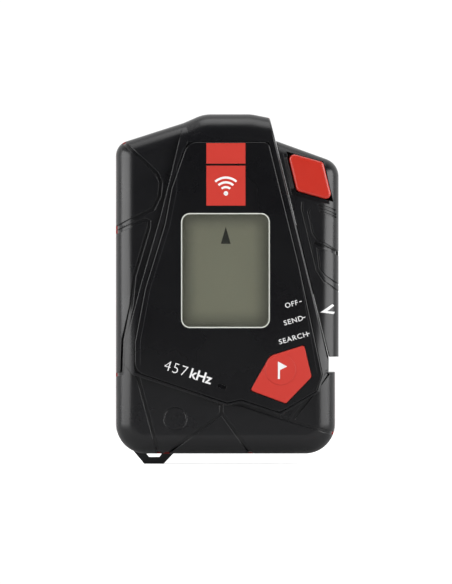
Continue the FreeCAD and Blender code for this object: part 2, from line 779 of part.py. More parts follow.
def make_selector():
    owner = form("selector_body")
    slider_form(owner, SLIDER_START, f"slider_front - {SLIDER_START}", "slider_front")
    pocket(owner, polygon(owner, "slant", LEFT_OF_SLIDER, "slider_front + 2"), "slider_front + 4")
    groove_start = "rail_start - slide_travel - 0.5"
    groove_end = "rail_start + rail_length + slide_travel + 0.5"
    middle = "(rail_back + stem_thick / 2)"
    stem = slanted_box(groove_start, groove_end, "-0.5", "stem_height + head_height / 2")
    pocket(owner, polygon(owner, "stem_groove", stem, f"{middle} - stem_thick / 2 - rail_gap"),
           "stem_thick + rail_gap * 2", True)
    head = slanted_box(groove_start, groove_end, "stem_height - rail_gap", "stem_height + head_height + rail_gap")
    pocket(owner, polygon(owner, "head_groove", head, f"{middle} - head_thick / 2 - rail_gap"),
           "head_thick + rail_gap * 2", True)
    well = [
        (f"{KEY[0][0]} - key_well_side", f"{KEY[0][1]} - key_well_side * 0.6"),
        (f"{KEY[1][0]} + key_gap", f"{KEY[1][1]} - key_well_top"),
        (f"{KEY[2][0]} + key_gap", f"{KEY[2][1]} + key_well_top"),
        (f"{KEY[3][0]} - key_well_side", f"{KEY[3][1]} + key_well_top"),
    ]
    pocket(owner, polygon(owner, "key_well", well, "slider_front"), "key_well_depth")
    pocket(owner, polygon(owner, "key_hole", grown(KEY, "key_gap"), "slider_front"),
           f"slider_front - {SLIDER_START}")
    flange = polygon(owner, "flange_hole", grown(KEY, "key_flange + key_gap"), SLIDER_START)
    pocket(owner, flange, f"key_back + key_flange_thick + 0.1 - {SLIDER_START}", True)
    magnet = circles(owner, "magnet_pocket", [slanted("magnet_along", "magnet_out")], "magnet_radius + 0.03",
                     SLIDER_START)
    pocket(owner, magnet, "magnet_length", True)
    holes = circles(owner, "screw_holes", SLIDER_SCREWS, "screw_radius", SLIDER_START)
    pocket(owner, holes, "slider_screw_length + screw_head_thick + slider_back + screw_sink + 0.5 - slider_seam", True)
    below = []
    for name, depth in (("terrace_floor", "crease_depth"), ("cross_floor", "groove_depth * 1.6")):
        floor = form(name)
        slider_form(floor, SLIDER_START, f"slider_front - {depth} - {SLIDER_START}", f"slider_front - {depth}", depth)
        below.append(floor)
    fine = furrows("fine_grooves", TERRACES + RIPPLES, "crease_width", below[0], "slider_front")
    cross = furrows("cross_groove", CROSS_GROOVE, "groove_width", below[1], "slider_front")
    grooves = combine("fuse", "selector_grooves", fine, cross)
    keep(combine("cut", "selector_slider", owner, grooves), "selector_slider")


def make_slider_back():
    owner = body("slider_back")
    slider_form(owner, "slider_back", "slider_seam - slider_back", "slider_back")
    pocket(owner, polygon(owner, "slant", LEFT_OF_SLIDER, "slider_seam + 1"), "slider_seam + 2")
    holes = circles(owner, "screw_holes", SLIDER_SCREWS, "screw_radius + screw_gap", "0")
    pocket(owner, holes, "slider_seam + 1", True)
    heads = circles(owner, "screw_heads", SLIDER_SCREWS, "screw_head_radius + screw_gap", "0")
    pocket(owner, heads, "slider_back + screw_head_thick + screw_sink", True)


def make_rail():
    owner = body("selector_rail")
    end = "rail_start + rail_length"
    stem = slanted_box("rail_start", end, 0, "stem_height + head_height / 2")
    pad(owner, polygon(owner, "stem", stem, "rail_back"), "stem_thick")
    head = slanted_box("rail_start", end, "stem_height", "stem_height + head_height")
    pad(owner, polygon(owner, "head", head, "rail_back + stem_thick / 2 - head_thick / 2"), "head_thick")


def make_lock_key():
    owner = body("lock_key")
    pad(owner, polygon(owner, "flange", grown(KEY, "key_flange"), "key_back"), "key_flange_thick")
    pad(owner, polygon(owner, "cap", KEY, "key_back"), "key_front - key_back")
    round_edges(owner, "cap_corners", "key_radius", at_corner(KEY))
    round_edges(owner, "rim", "0.8", at_depth("key_front"))


def key_centre():
    return "key_left + (key_width + key_lean) / 2", "key_top - (key_height + key_drop) / 2"


def make_lock_spring():
    """A hollow silicone cone that pushes the lock key out again."""
    x, z = key_centre()
    length = "(key_back - slider_seam - 0.1)"
    outer = cone("spring_outer", "key_dome_foot", "key_dome_top", length, x, "slider_seam + 0.05", z)
    inner = cone("spring_inner", "key_dome_foot - key_dome_wall", "key_dome_top - key_dome_wall", length, x,
                 "slider_seam + 0.05", z)
    keep(combine("cut", "lock_spring", outer, inner), "lock_spring")


# ---------------------------------------------------------------- solids made of primitives

def place(made, x, y, z):
    for key, expression in zip("xyz", (x, y, z)):
        made.setExpression(f"Placement.Base.{key}", cells(expression))


def block(name, left, right, bottom, top, back, front):
    made = doc.addObject("Part::Box", name)
    made.setExpression("Length", cells(f"({right}) - ({left})"))
    made.setExpression("Width", cells(f"({front}) - ({back})"))
    made.setExpression("Height", cells(f"({top}) - ({bottom})"))
    place(made, left, f"-({front})", bottom)
    return made


TURN = {
    "x": FreeCAD.Rotation(Vector(0, 1, 0), 90),
    "forward": FreeCAD.Rotation(Vector(1, 0, 0), 90),
    "z": FreeCAD.Rotation(),
}


def drum(name, radius, length, x, depth, z, along="forward"):
    """A cylinder that starts at a point and runs along X, along Z or forward."""
    made = doc.addObject("Part::Cylinder", name)
    made.setExpression("Radius", cells(radius))
    made.setExpression("Height", cells(length))
    made.Placement.Rotation = TURN[along]
    place(made, x, f"-({depth})", z)
    return made


def cone(name, foot, top, length, x, depth, z):
    """A cone that starts at a point and runs forward."""
    made = doc.addObject("Part::Cone", name)
    made.setExpression("Radius1", cells(foot))
    made.setExpression("Radius2", cells(top))
    made.setExpression("Height", cells(length))
    made.Placement.Rotation = TURN["forward"]
    place(made, x, f"-({depth})", z)
    return made


def combine(kind, name, *pieces):
    """The cut, or the fusion, of finished solids."""
    made = doc.addObject({"cut": "Part::Cut", "fuse": "Part::MultiFuse", "group": "Part::Compound"}[kind], name)
    if kind == "cut":
        made.Base, made.Tool = pieces
    elif kind == "fuse":
        made.Shapes = list(pieces)
    else:
        made.Links = list(pieces)
    return made


def tube(name, outer, inner, length, x, depth, z, along="forward"):
    return combine("cut", name, drum(name + "_outer", outer, length, x, depth, z, along),
                   drum(name + "_bore", inner, length, x, depth, z, along))


# ---------------------------------------------------------------- battery bay and door

def make_door():
    owner = body("battery_door")
    pad(owner, polygon(owner, "plate", door_outline(), "0"), "door_thick")
    round_edges(owner, "corners", "door_corner", at_corner(door_outline()[2:]))
    barrel = circles(owner, "barrel", [("-hinge_radius", "hinge_z")], "hinge_radius", "-hinge_half", "YZ_Plane")
    web = box_points("-hinge_half", "hinge_z", "hinge_half", "hinge_z + hinge_radius + 1.5")
    pad(owner, polygon(owner, "web", web, "0"), "door_thick")
    pad(owner, barrel, "hinge_half * 2")
    bore = circles(owner, "bore", [("-hinge_radius", "hinge_z")], "pin_radius + hinge_bore_gap", "-hinge_half - 1",
                   "YZ_Plane")
    pocket(owner, bore, "hinge_half * 2 + 2", True)
    head = circles(owner, "coin_recess", [(0, "coin_z")], "coin_head_radius + 0.15", "0")
    pocket(owner, head, "coin_head_thick + 0.05", True)
    shank = circles(owner, "coin_hole", [(0, "coin_z")], "coin_shank_radius + 0.05", "0")
    pocket(owner, shank, "door_thick + 1", True)


def make_door_seal():
    owner = body("door_seal")
    bay = battery_bay()
    pad(owner, polygon(owner, "outline", grown(bay, "-door_seal_gap"), "door_thick"), "door_seal_thick")
    inner = grown(bay, "-door_seal_gap - door_seal_width")
    pocket(owner, polygon(owner, "inside", inner, "door_thick"), "door_seal_thick", True)


def make_coin_screw():
    owner = body("coin_screw")
    centre = [(0, "coin_z")]
    pad(owner, circles(owner, "head", centre, "coin_head_radius", "0.05"), "coin_head_thick - 0.05")
    pad(owner, circles(owner, "shank", centre, "coin_shank_radius", "0.05"), "coin_shank_end")
    slot = box_points("-coin_head_radius", "coin_z - coin_slot_width / 2", "coin_head_radius",
                      "coin_z + coin_slot_width / 2")
    pocket(owner, polygon(owner, "slot", slot, "0"), "coin_slot_depth", True)


def make_battery():
    half = "cell_length / 2"
    can = drum("cell_can", "cell_radius", "cell_length", f"-({half})", "cell_depth", "cell_z", "x")
    nub = drum("cell_nub", "cell_nub_radius", "cell_nub_length", half, "cell_depth", "cell_z", "x")
    keep(combine("fuse", "aa_cell", can, nub), "aa_cell")
    end = f"({half} + bay_end_gap)"
    low, high = "cell_z - 5", "cell_z + 5"
    back, front = "cell_depth - 5", "cell_depth + 5"
    keep(block("contact_positive", f"{end} - contact_thick", end, low, high, back, front), "contact_positive")
    owner = body("contact_negative")
    leaf = [
        (f"-{end} + contact_thick / 2 + 0.02", f"-({front})"),
        (f"-{end} + contact_thick / 2 + 0.02", f"-({back})"),
        (f"-({half}) - contact_thick / 2 - 0.25", "-cell_depth"),
        (f"-{end} + contact_thick * 2.5", "-cell_depth - 2.4"),
    ]
    pad(owner, polygon(owner, "leaf", strip(leaf, "contact_thick"), "cell_z - 4", "XY_Plane"), "8")


# ---------------------------------------------------------------- electronics

BOARD_FRONT = "(board_depth + board_thick)"
SWITCH_TOP = "(board_depth + board_thick + switch_height)"


def make_board():
    owner = body("circuit_board")
    margin = "side_wall - board_margin"
    outline = [
        ("board_left", "board_bottom"),
        (f"{wall_x('board_bottom')} - board_margin - side_wall - 2", "board_bottom"),
        (f"{wall_x('board_top')} - board_margin - side_wall", "board_top"),
        ("board_left", "board_top"),
    ]
    pad(owner, polygon(owner, "outline", outline, "board_depth"), "board_thick")
    round_edges(owner, "corners", "1.5", at_corner(outline))


def make_electronics():
    make_board()
    lcd = grown(WINDOW, "lcd_margin")
    (left, bottom), _, (right, top), _ = lcd
    lcd_front = "spine_depth - lens_wall - 0.1"
    keep(block("lcd_module", left, right, bottom, top, f"{lcd_front} - lcd_thick", lcd_front), "lcd_module")
    light_front = f"{lcd_front} - lcd_thick - 0.1"
    keep(block("lcd_backlight", left, right, bottom, top, f"{light_front} - backlight_thick", light_front),
         "lcd_backlight")
    switch = block("switch_base", "dome_x - switch_size / 2", "dome_x + switch_size / 2", "dome_z - switch_size / 2",
                   "dome_z + switch_size / 2", BOARD_FRONT, f"{SWITCH_TOP} - 1")
    plunger = drum("switch_plunger", "stem_radius", "1", "dome_x", f"{SWITCH_TOP} - 1", "dome_z")
    keep(combine("fuse", "mark_switch", switch, plunger), "mark_switch")
    half = "chip_size / 2"
    keep(block("processor_chip", f"-9 - {half}", f"-9 + {half}", f"-24 - {half}", f"-24 + {half}", BOARD_FRONT,
               f"{BOARD_FRONT} + chip_thick"), "processor_chip")
    sensors = []
    for step in (-1, 0, 1):
        x, z = slanted(f"magnet_along + {step} * slide_travel", "-side_wall - 6.5")
        sensors.append(block(f"sensor_{step + 1}", f"{x} - sensor_size / 2", f"{x} + sensor_size / 2",
                             f"{z} - sensor_size / 2", f"{z} + sensor_size / 2", "board_depth - sensor_thick",
                             "board_depth"))
    keep(combine("group", "position_sensors", *sensors), "position_sensors")
    keep(drum("sounder_disc", "sounder_radius", "sounder_thick", "sounder_x", "face_depth - floor_wall - 1.1",
              "sounder_z"), "sounder_disc")


def make_antennas():
    for name, radius, length, x, z, along in (
        ("long_antenna", "rod_radius", "rod_length", "rod_x", "rod_z", "z"),
        ("short_antenna", "short_rod_radius", "short_rod_length", "short_rod_x", "short_rod_z", "x"),
    ):
        wound = f"({length}) * winding_share"
        rod_start, coil_start = f"-({length}) / 2", f"-{wound} / 2"
        offset = (lambda start: (x, f"{z} + {start}")) if along == "z" else (lambda start: (f"{x} + {start}", z))
        rod_x, rod_z = offset(rod_start)
        coil_x, coil_z = offset(coil_start)
        keep(drum(name + "_rod", radius, length, rod_x, "rod_depth", rod_z, along), name + "_rod")
        keep(tube(name + "_winding", f"{radius} + winding_wall", radius, wound, coil_x, "rod_depth", coil_z, along),
             name + "_winding")
    owner = body("flat_antenna")
    half_x, half_z = "coil_width / 2", "coil_height / 2"
    outline = box_points(f"coil_x - {half_x}", f"coil_z - {half_z}", f"coil_x + {half_x}", f"coil_z + {half_z}")
    pad(owner, polygon(owner, "outline", outline, "board_depth - coil_thick"), "coil_thick")
    round_edges(owner, "corners", "5", at_corner(outline))
    inner = polygon(owner, "inside", grown(outline, "-coil_wall"), "board_depth - coil_thick")
    pocket(owner, inner, "coil_thick", True)


def screw(name, x, z, start, length):
    """A pan-head screw that goes in from the back."""
    head = drum(name + "_head", "screw_head_radius", "screw_head_thick", x, start, z)
    shank = drum(name + "_shank", "screw_radius", length, x, f"{start} + screw_head_thick", z)
    recess = doc.addObject("Part::Prism", name + "_recess")
    recess.Polygon = 6
    recess.setExpression("Circumradius", cells("screw_head_radius * 0.5"))
    recess.setExpression("Height", cells("screw_head_thick * 0.6"))
    recess.Placement.Rotation = TURN["forward"]
    place(recess, x, f"-({start})", z)
    return combine("cut", name, combine("fuse", name + "_solid", head, shank), recess)


def make_screws():
    case = [screw(f"case_screw_{i}", x, z, "screw_sink", "screw_length") for i, (x, z) in enumerate(CASE_SCREWS)]
    keep(combine("group", "case_screws", *case), "case_screws")
    slider = [screw(f"slider_screw_{i}", x, z, "slider_back + screw_sink", "slider_screw_length")
              for i, (x, z) in enumerate(SLIDER_SCREWS)]
    keep(combine("group", "slider_screws", *slider), "slider_screws")


def write_parts():
    doc.recompute()
    for made in doc.Objects:
        if any(state in ("Invalid", "Error") for state in made.State):
            raise RuntimeError(f"{made.Name}: {made.State}")
    os.makedirs("parts", exist_ok=True)
    for made in NODES:
        if made.Shape.isNull() or not made.Shape.isValid():
            raise RuntimeError(f"{made.Label} has no valid shape")
        made.Shape.exportStep(f"parts/{made.Label}.step")
        print(f"{made.Label}: {len(made.Shape.Solids)} solids, {made.Shape.Volume:.0f} mm3")


make_front_case()
make_rear_case()
make_case_seal()
make_front_panel()
make_window()
make_light_pipe()
make_mark_key()
make_selector()
make_slider_back()
make_rail()
make_lock_key()
make_lock_spring()
magnet_x, magnet_z = slanted("magnet_along", "magnet_out")
keep(drum("selector_magnet", "magnet_radius", "magnet_length - 0.1", magnet_x, SLIDER_START, magnet_z),
     "selector_magnet")
make_door()
make_door_seal()
make_coin_screw()
keep(tube("screw_insert", "coin_shank_radius + coin_gap + insert_wall", "coin_shank_radius + coin_gap", "3.5",
          0, "door_thick + 0.6", "coin_z"), "screw_insert")
keep(drum("hinge_pin", "pin_radius", "(hinge_half + door_gap + lug_width) * 2", "-hinge_half - door_gap - lug_width",
          "hinge_radius", "hinge_z", "x"), "hinge_pin")
make_battery()
make_electronics()
make_antennas()
make_screws()
write_parts()
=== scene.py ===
"""Looks of a pocket avalanche transceiver: moulded shells, selector, keys, display, battery bay and electronics."""
import math

import bmesh
import bpy
from mathutils import Matrix, Vector
from mathutils.bvhtree import BVHTree


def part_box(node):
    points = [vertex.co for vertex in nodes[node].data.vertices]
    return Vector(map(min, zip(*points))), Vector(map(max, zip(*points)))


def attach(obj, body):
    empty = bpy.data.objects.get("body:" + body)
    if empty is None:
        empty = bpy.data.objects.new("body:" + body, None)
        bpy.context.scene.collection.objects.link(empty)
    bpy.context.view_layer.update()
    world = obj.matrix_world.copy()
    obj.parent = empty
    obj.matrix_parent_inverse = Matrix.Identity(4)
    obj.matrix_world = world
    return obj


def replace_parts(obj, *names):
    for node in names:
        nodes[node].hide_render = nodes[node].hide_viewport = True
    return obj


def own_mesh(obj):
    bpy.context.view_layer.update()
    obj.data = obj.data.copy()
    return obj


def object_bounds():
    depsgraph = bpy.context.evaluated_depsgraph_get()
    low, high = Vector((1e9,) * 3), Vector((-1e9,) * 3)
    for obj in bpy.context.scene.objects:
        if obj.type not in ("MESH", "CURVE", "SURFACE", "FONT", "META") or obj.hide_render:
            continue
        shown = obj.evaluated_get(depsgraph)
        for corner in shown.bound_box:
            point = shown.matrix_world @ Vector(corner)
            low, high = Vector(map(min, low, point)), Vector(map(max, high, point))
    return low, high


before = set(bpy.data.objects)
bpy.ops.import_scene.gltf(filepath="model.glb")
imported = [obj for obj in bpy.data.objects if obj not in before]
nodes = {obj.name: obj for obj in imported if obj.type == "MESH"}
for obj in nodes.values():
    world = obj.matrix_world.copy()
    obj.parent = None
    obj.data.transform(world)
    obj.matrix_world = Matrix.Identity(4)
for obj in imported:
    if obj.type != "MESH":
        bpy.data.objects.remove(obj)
cad_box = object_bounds()
MM = 0.001

# ------------------------------------------------------------------ studio
# A pale floor in a room that is dark in front of the object and pale behind it. Two tall side boxes draw the
# grey bands down the rounded sides, and a box overhead shades the crown. The lens is long and level.
scene = bpy.context.scene
scene.view_settings.view_transform = "Standard"
VIEW_HEIGHT = 0.196
CAMERA_AWAY = 2.0
FRONT_Y = cad_box[0][1]

lens = bpy.data.cameras.new("camera")
lens.sensor_fit = "VERTICAL"
lens.sensor_height = 36
lens.lens = lens.sensor_height * CAMERA_AWAY / VIEW_HEIGHT
camera = bpy.data.objects.new("camera", lens)
camera.location = (-0.00042, FRONT_Y - CAMERA_AWAY, -0.0027)
camera.rotation_euler = (math.pi / 2, 0, 0)
scene.collection.objects.link(camera)
scene.camera = camera


def softbox(name, place, size, power):
    """A rectangular lamp that faces the middle of the object."""
    light = bpy.data.lights.new(name, "AREA")
    light.shape = "RECTANGLE"
    light.size, light.size_y = size
    light.energy = power
    lamp = bpy.data.objects.new(name, light)
    lamp.location = place
    lamp.rotation_euler = Vector(place).to_track_quat("Z", "Y").to_euler()
    scene.collection.objects.link(lamp)


softbox("left_box", (-0.78, -0.42, 0.05), (0.95, 1.1), 14.5)
softbox("right_box", (0.78, -0.46, 0.0), (0.95, 1.15), 17.0)
softbox("top_box", (0.0, -0.10, 0.80), (0.6, 0.5), 2.5)

world = bpy.data.worlds.new("white_room")
scene.world = world
world.use_nodes = True
room = world.node_tree
surround = room.nodes["Background"]
surround.inputs["Color"].default_value = (1, 1, 1, 1)
heading = room.nodes.new("ShaderNodeSeparateXYZ")
room.links.new(room.nodes.new("ShaderNodeTexCoord").outputs["Generated"], heading.inputs[0])
behind = room.nodes.new("ShaderNodeMapRange")
behind.interpolation_type = "SMOOTHSTEP"
DARK_IN_FRONT, PALE_BEHIND = 0.035, 0.9
for socket, number in zip((1, 2, 3, 4), (-0.35, 0.5, DARK_IN_FRONT, PALE_BEHIND)):
    behind.inputs[socket].default_value = number
room.links.new(heading.outputs["Y"], behind.inputs[0])
room.links.new(behind.outputs[0], surround.inputs["Strength"])
backdrop = room.nodes.new("ShaderNodeBackground")
backdrop.inputs["Color"].default_value = (1, 1, 1, 1)
backdrop.inputs["Strength"].default_value = 1.05
seen = room.nodes.new("ShaderNodeLightPath")
either = room.nodes.new("ShaderNodeMixShader")
room.links.new(seen.outputs["Is Camera Ray"], either.inputs[0])
room.links.new(surround.outputs[0], either.inputs[1])
room.links.new(backdrop.outputs[0], either.inputs[2])
room.links.new(either.outputs[0], room.nodes["World Output"].inputs["Surface"])


def material(name, colour, roughness, **fixed):
    """A material of one Principled shader, with its constants set on the shader's own sockets."""
    made = bpy.data.materials.new(name)
    made.use_nodes = True
    shader = made.node_tree.nodes["Principled BSDF"]
    shader.inputs["Base Color"].default_value = (*colour, 1)
    shader.inputs["Roughness"].default_value = roughness
    for socket, number in fixed.items():
        shader.inputs[socket.replace("_", " ")].default_value = number
    return made


def piece(name, mesh, made, body):
    """A finished mesh in the row's frame becomes a piece of the object."""
    mesh.name = name
    mesh.materials.clear()
    mesh.materials.append(made)
    thing = bpy.data.objects.new(name, mesh)
    scene.collection.objects.link(thing)
    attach(thing, body)
    return thing


FLOOR_SIDE = 0.9
floor_mesh = bpy.data.meshes.new("floor")
half, low = FLOOR_SIDE / 2, cad_box[0][2]
floor_mesh.from_pydata(
    [(-half, -half, low), (half, -half, low), (half, half, low), (-half, half, low)], [], [(0, 1, 2, 3)])
paper = material("pale_floor", (0.6, 0.6, 0.6), 0.8, Specular_IOR_Level=0.0, Emission_Color=(1, 1, 1, 1))
glare = paper.node_tree.nodes.new("ShaderNodeMath")
glare.operation = "MULTIPLY"
FLOOR_GLARE = 0.75
glare.inputs[1].default_value = FLOOR_GLARE
directly = paper.node_tree.nodes.new("ShaderNodeLightPath").outputs["Is Camera Ray"]
paper.node_tree.links.new(directly, glare.inputs[0])
paper.node_tree.links.new(glare.outputs[0], paper.node_tree.nodes["Principled BSDF"].inputs["Emission Strength"])
floor_mesh.materials.append(paper)
floor = bpy.data.objects.new("floor", floor_mesh)
scene.collection.objects.link(floor)

# ------------------------------------------------------------------ housing shells
# Two shells moulded in glass-filled nylon, black, from a spark-eroded tool: a fine even grain and softly
# rounded edges, painted paler along the edges, partly as rubbing wear and partly as a painted highlight.


def group(name, inputs, outputs):
    """An empty shader node group with named sockets; returns it with its two end nodes."""
    made = bpy.data.node_groups.new(name, "ShaderNodeTree")
    for label, kind, number in inputs:
        socket = made.interface.new_socket(label, in_out="INPUT", socket_type=kind)
        if number is not None:
            socket.default_value = number
    for label, kind in outputs:
        made.interface.new_socket(label, in_out="OUTPUT", socket_type=kind)
    return made, made.nodes.new("NodeGroupInput"), made.nodes.new("NodeGroupOutput")


def step(tree, kind, links=(), **settings):
    """A node with its settings, fed by outputs of other nodes or by plain numbers."""
    made = tree.nodes.new(kind)
    for key, setting in settings.items():
        setattr(made, key, setting)
    for socket, source in dict(links).items():
        if isinstance(source, bpy.types.NodeSocket):
            tree.links.new(source, made.inputs[socket])
        else:
            made.inputs[socket].default_value = source
    return made


def sums(tree, operation, a, b=0.5, clamp=False):
    """One step of arithmetic."""
    return step(tree, "ShaderNodeMath", {0: a, 1: b}, operation=operation, use_clamp=clamp).outputs[0]


# Grain of the mould, as a height, and the slow drift in gloss that goes with it.
grain_group, start, end = group(
    "mould_grain", [("Pits per Metre", "NodeSocketFloat", 5200.0), ("Patches per Metre", "NodeSocketFloat", 60.0)],
    [("Height", "NodeSocketFloat"), ("Patch", "NodeSocketFloat")])
place_in = step(grain_group, "ShaderNodeTexCoord").outputs["Object"]
pits = step(grain_group, "ShaderNodeTexNoise",
            {"Vector": place_in, "Scale": start.outputs["Pits per Metre"], "Detail": 2.0, "Roughness": 0.6})
patches = step(grain_group, "ShaderNodeTexNoise",
               {"Vector": place_in, "Scale": start.outputs["Patches per Metre"], "Detail": 3.0})
grain_group.links.new(pits.outputs["Fac"], end.inputs["Height"])
grain_group.links.new(patches.outputs["Fac"], end.inputs["Patch"])

# Rounded edges: the normal softened over a small radius, and a mask of where it turns, broken up by noise. The mask
# paints the edges paler, partly as rubbing wear and partly as a painted highlight.
edge_group, start, end = group(
    "rubbed_edges", [("Radius", "NodeSocketFloat", 0.0002), ("Rubbing", "NodeSocketFloat", 0.5)],
    [("Normal", "NodeSocketVector"), ("Mask", "NodeSocketFloat")])
soft = step(edge_group, "ShaderNodeBevel", {"Radius": start.outputs["Radius"]}, samples=6).outputs[0]
flat = step(edge_group, "ShaderNodeNewGeometry").outputs["Normal"]
turn = step(edge_group, "ShaderNodeVectorMath", {0: soft, 1: flat}, operation="DOT_PRODUCT").outputs["Value"]
edge = sums(edge_group, "MULTIPLY", sums(edge_group, "SUBTRACT", 1.0, turn), 3.0, clamp=True)
worn = step(edge_group, "ShaderNodeTexNoise",
            {"Vector": step(edge_group, "ShaderNodeTexCoord").outputs["Object"], "Scale": 900.0, "Detail": 4.0})
broken = step(edge_group, "ShaderNodeMapRange",
              {0: worn.outputs["Fac"], 1: 0.42, 2: 0.68, 3: 0.0, 4: start.outputs["Rubbing"]}).outputs[0]
edge_group.links.new(soft, end.inputs["Normal"])
edge_group.links.new(sums(edge_group, "MULTIPLY", edge, broken, clamp=True), end.inputs["Mask"])


def moulded(name, colour, pale_edge_wear_and_highlight, roughness, grain=0.012, radius=0.0002, pits=5200.0, spread=0.08, edge_wear_and_highlight_level=0.5,
            **fixed):
    """A moulded plastic: grained, with softened edges painted paler, partly as rubbing wear and partly as a painted
    highlight.
    """
    made = material(name, colour, roughness, **fixed)
    tree = made.node_tree
    shader = tree.nodes["Principled BSDF"]
    grains = step(tree, "ShaderNodeGroup", node_tree=grain_group)
    grains.inputs["Pits per Metre"].default_value = pits
    edges = step(tree, "ShaderNodeGroup", node_tree=edge_group)
    edges.inputs["Radius"].default_value = radius
    edges.inputs["Rubbing"].default_value = edge_wear_and_highlight_level
    bump = step(tree, "ShaderNodeBump", {"Strength": 0.35, "Distance": grain * MM,
                                         "Height": grains.outputs["Height"], "Normal": edges.outputs["Normal"]})
    tree.links.new(bump.outputs[0], shader.inputs["Normal"])
    # Painted highlight and wear: the edge mask mixes a paler colour into the edges.
    colours = step(tree, "ShaderNodeMix", {0: edges.outputs["Mask"]}, data_type="RGBA")
    colours.inputs[6].default_value = (*colour, 1)
    colours.inputs[7].default_value = (*pale_edge_wear_and_highlight, 1)
    tree.links.new(colours.outputs[2], shader.inputs["Base Color"])
    gloss = step(tree, "ShaderNodeMapRange", {0: grains.outputs["Patch"], 1: 0.3, 2: 0.7,
                                              3: roughness - spread / 2, 4: roughness + spread / 2})
    tree.links.new(gloss.outputs[0], shader.inputs["Roughness"])
    return made


def dress(made, *names):
    """Gives CAD nodes their finish."""
    for name in names:
        nodes[name].data.materials.clear()
        nodes[name].data.materials.append(made)


shell_black = moulded("shell_black", (0.0034, 0.0034, 0.0044), (0.028, 0.028, 0.031), 0.29, radius=0.00028)
dress(shell_black, "front_case", "rear_case")

# ------------------------------------------------------------------ case seal
# A red silicone cord, cast in one loop and squeezed between the two shells by the case screws. It keeps water
# out and shows as a hairline round the seam.
seal_red = material("seal_red", (0.42, 0.025, 0.02), 0.55, Subsurface_Weight=0.1, Subsurface_Scale=0.0005)
dress(seal_red, "case_seal")

# ------------------------------------------------------------------ front panel
# A hard-coated black panel bonded into the spine. It is smoother than the shells and carries the prints:
# the red block, the names of the three positions and the carrier frequency.
panel_black = moulded("panel_black", (0.0026, 0.0026, 0.0034), (0.03, 0.03, 0.032), 0.28, grain=0.006,
                      radius=0.00015, pits=7000.0, spread=0.05, Specular_IOR_Level=0.42)
dress(panel_black, "front_panel")
PANEL_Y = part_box("front_panel")[0][1]
INK = 0.02 * MM


def outline_mesh(outline, y, thick, cuts=None):
    """A flat plate of even thickness from an outline in millimetres; cuts are extra lines across it."""
    shape = bmesh.new()
    face = shape.faces.new([shape.verts.new((x * MM, y, z * MM)) for x, z in outline])
    face.normal_update()
    if face.normal.y > 0:
        face.normal_flip()
    for at in cuts or []:
        bmesh.ops.bisect_plane(shape, geom=shape.verts[:] + shape.edges[:] + shape.faces[:],
                               plane_co=(at * MM, 0, 0), plane_no=(1, 0, 0))
    return thicken(shape, thick)


def thicken(shape, thick):
    """Pushes a sheet's front face forward and closes its rim and back."""
    top = bmesh.ops.extrude_face_region(shape, geom=shape.faces[:])
    front = [v for v in top["geom"] if isinstance(v, bmesh.types.BMVert)]
    bmesh.ops.translate(shape, vec=(0, -thick, 0), verts=front)
    bmesh.ops.recalc_face_normals(shape, faces=shape.faces[:])
    mesh = bpy.data.meshes.new("plate")
    shape.to_mesh(mesh)
    shape.free()
    return mesh


def joined(meshes):
    """Several meshes as one."""
    shape = bmesh.new()
    for mesh in meshes:
        shape.from_mesh(mesh)
    made = bpy.data.meshes.new("joined")
    shape.to_mesh(made)
    shape.free()
    return made


def rect(left, bottom, right, top):
    return [(left, bottom), (right, bottom), (right, top), (left, top)]


ink_red = material("ink_red", (0.50, 0.030, 0.019), 0.42)
ink_white = material("ink_white", (0.78, 0.78, 0.78), 0.5)
BLOCK_LEFT, BLOCK_RIGHT = -7.0, 6.1
blocks = [outline_mesh(rect(BLOCK_LEFT, 40.4, BLOCK_RIGHT, 47.3), PANEL_Y, INK),
          outline_mesh(rect(BLOCK_LEFT, 26.3, BLOCK_RIGHT, 39.7), PANEL_Y, INK)]
piece("red_block", joined(blocks), ink_red, "housing")


def arc_band(x, z, radius, width, start, stop, steps=28):
    """A band along part of a circle; the angles are in degrees from +X."""
    angles = [math.radians(start + (stop - start) * i / steps) for i in range(steps + 1)]
    outer = [(x + (radius + width / 2) * math.cos(a), z + (radius + width / 2) * math.sin(a)) for a in angles]
    inner = [(x + (radius - width / 2) * math.cos(a), z + (radius - width / 2) * math.sin(a)) for a in angles]
    return outer + inner[::-1]


# Plain sign for radio waves: a dot with arcs over it.
SIGN_X, SIGN_Z = (BLOCK_LEFT + BLOCK_RIGHT) / 2, 30.4
WAVE_WIDTH = 0.75
waves = [outline_mesh(arc_band(SIGN_X, SIGN_Z, radius, WAVE_WIDTH, 48, 132), PANEL_Y - INK, INK)
         for radius in (2.1, 3.7, 5.3)]
waves.append(outline_mesh(arc_band(SIGN_X, SIGN_Z, WAVE_WIDTH / 2, WAVE_WIDTH, 0, 359.9), PANEL_Y - INK, INK))
piece("wave_sign", joined(waves), ink_white, "housing")


